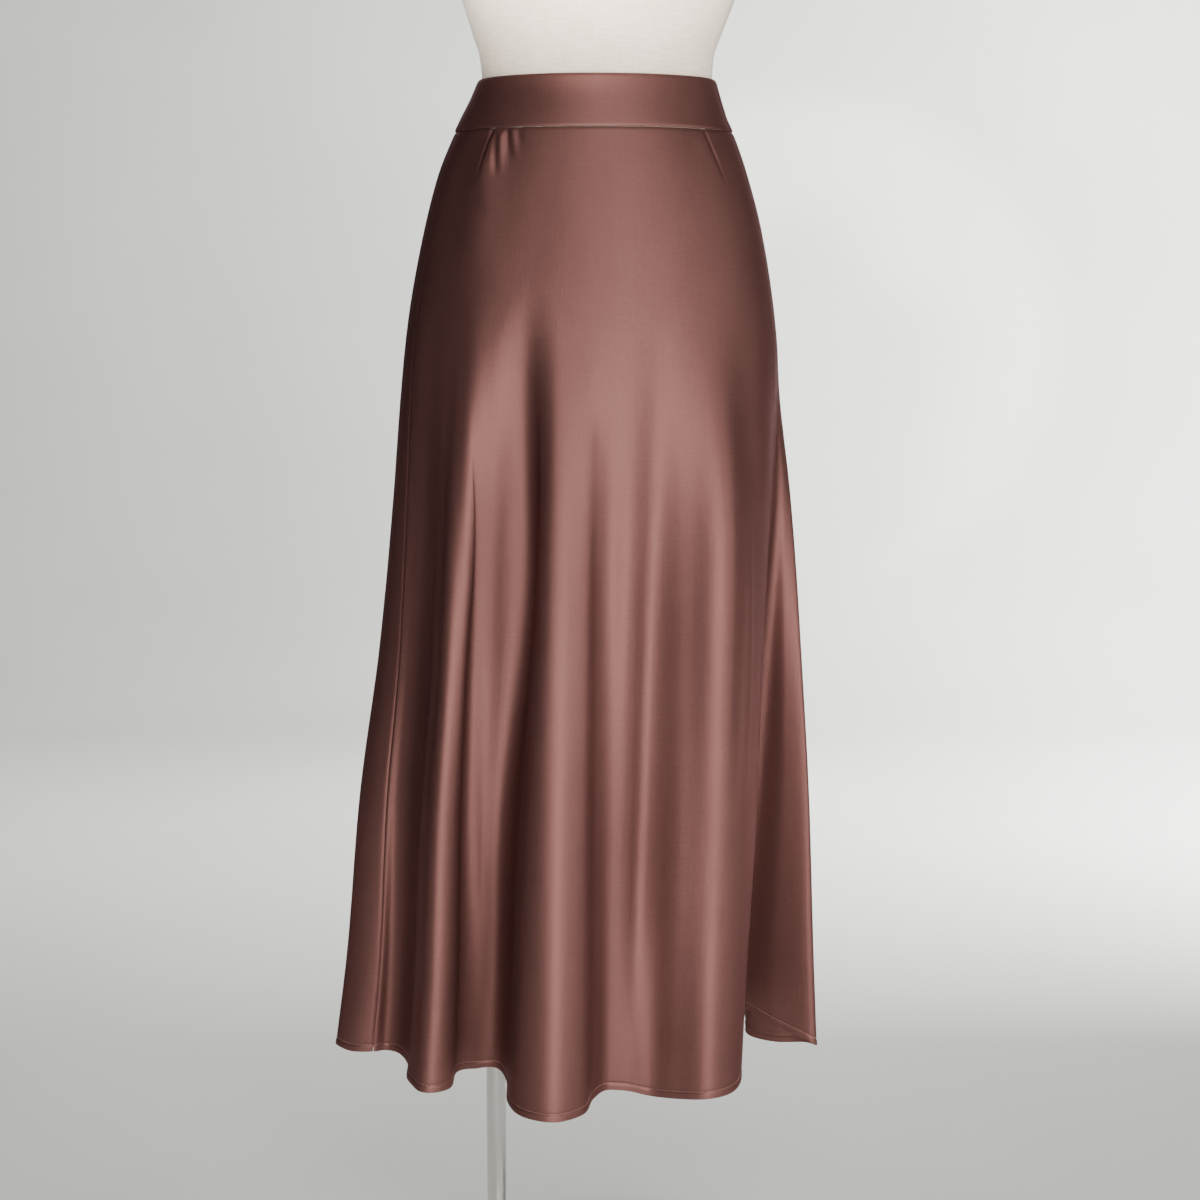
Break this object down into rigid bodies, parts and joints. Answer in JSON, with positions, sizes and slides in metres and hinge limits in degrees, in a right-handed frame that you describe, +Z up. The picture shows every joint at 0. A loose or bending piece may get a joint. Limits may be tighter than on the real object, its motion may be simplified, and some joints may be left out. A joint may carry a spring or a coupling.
{
  "type": "maxi skirt on a dress form",
  "caption": "A-line maxi skirt in brown satin with a plain waistband, darts and hem, hung on a linen torso form with an off-centre pole and a round base.",
  "frame": {"origin": "centre of the underside of the round base, on the floor", "axes": "+Z up; the skirt's front faces -Y and the wearer's left is +X"},
  "size_m": [0.479, 0.3845, 1.6403],
  "materials": {
    "satin": "heavy satin, soft sheen",
    "zip_metal": "semi-gloss paint in the cloth's colour",
    "linen": "plain natural linen over padding",
    "cap_wood": "waxed",
    "stand_metal": "satin steel"
  },
  "bodies": {
    "root": {"front_panel": "satin", "back_panel_left": "satin", "back_panel_right": "satin", "waistband_front": "satin", "waistband_back_left": "satin", "waistband_back_right": "satin", "zip_slider": "zip_metal", "form_torso": "linen", "form_neck_cap": "cap_wood", "form_socket": "stand_metal", "stand_pole": "stand_metal", "stand_collar": "stand_metal", "stand_base": "stand_metal"},
    "zip_pull": {"zip_tab": "zip_metal"}
  },
  "joints": [
    {"name": "zip_tab_swing", "type": "hinge", "parent": "root", "child": "zip_pull", "pos_m": [0, 0.0899, 1.15739], "axis": [1, 0, 0], "range_deg": [0, 150]}
  ]
}
